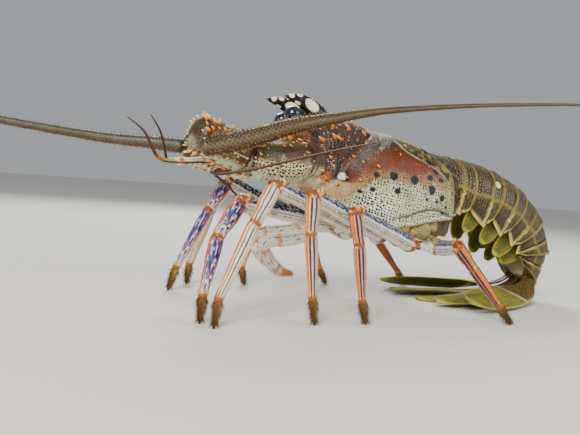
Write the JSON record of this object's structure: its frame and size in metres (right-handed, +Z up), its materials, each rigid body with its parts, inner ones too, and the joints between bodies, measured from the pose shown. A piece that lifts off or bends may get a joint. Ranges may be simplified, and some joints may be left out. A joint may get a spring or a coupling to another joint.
{
  "type": "caribbean spiny lobster",
  "caption": "Life-size spiny lobster standing on its toes with the tail curled under, the left antenna folded back and the right reaching forward.",
  "frame": {"origin": "on the floor, below the middle of the whole model's box", "axes": "-X towards the head, -Y towards the animal's left side, +Z up"},
  "size_m": [0.6402, 0.19, 0.1514],
  "materials": {
    "carapace": "semi-gloss, speckled brown and cream",
    "belly": "satin cream",
    "horn": "semi-gloss black with cream bands",
    "eye": "gloss black",
    "antenna": "satin brown and olive",
    "leg": "semi-gloss peach with dark blue stripes",
    "abdomen": "satin dark olive",
    "tail_fan": "satin olive with yellow-green rims"
  },
  "bodies": {
    "root": {"abdomen_1": "abdomen", "abdomen_2": "abdomen", "abdomen_3": "abdomen", "abdomen_4": "abdomen", "abdomen_5": "abdomen", "abdomen_6": "abdomen", "antenna_left_base": "antenna", "antenna_left_tip": "antenna", "antenna_right_base": "antenna", "antenna_right_tip": "antenna", "antennule_left": "leg", "antennule_right": "leg", "antennule_right_branch": "leg", "carapace": "carapace", "eye_left": "eye", "eye_right": "eye", "face": "carapace", "flagellum_left_far": "antenna", "flagellum_left_near": "antenna", "flagellum_right_far": "antenna", "flagellum_right_near": "antenna", "horn_left": "horn", "horn_right": "horn", "leg_left_1_lower": "leg", "leg_left_1_upper": "leg", "leg_left_2_lower": "leg", "leg_left_2_upper": "leg", "leg_left_3_lower": "leg", "leg_left_3_upper": "leg", "leg_left_4_lower": "leg", "leg_left_4_upper": "leg", "leg_left_5_lower": "leg", "leg_left_5_upper": "leg", "leg_right_1_lower": "leg", "leg_right_1_upper": "leg", "leg_right_2_lower": "leg", "leg_right_2_upper": "leg", "leg_right_3_lower": "leg", "leg_right_3_upper": "leg", "leg_right_4_lower": "leg", "leg_right_4_upper": "leg", "leg_right_5_lower": "leg", "leg_right_5_upper": "leg", "maxilliped_left": "leg", "maxilliped_right": "leg", "sternum": "belly", "swimmeret_left_1": "tail_fan", "swimmeret_left_2": "tail_fan", "swimmeret_left_3": "tail_fan", "swimmeret_left_4": "tail_fan", "swimmeret_right_1": "tail_fan", "swimmeret_right_2": "tail_fan", "swimmeret_right_3": "tail_fan", "swimmeret_right_4": "tail_fan", "telson": "tail_fan", "uropod_endopod_left": "tail_fan", "uropod_endopod_right": "tail_fan", "uropod_exopod_left": "tail_fan", "uropod_exopod_right": "tail_fan"}
  },
  "joints": []
}
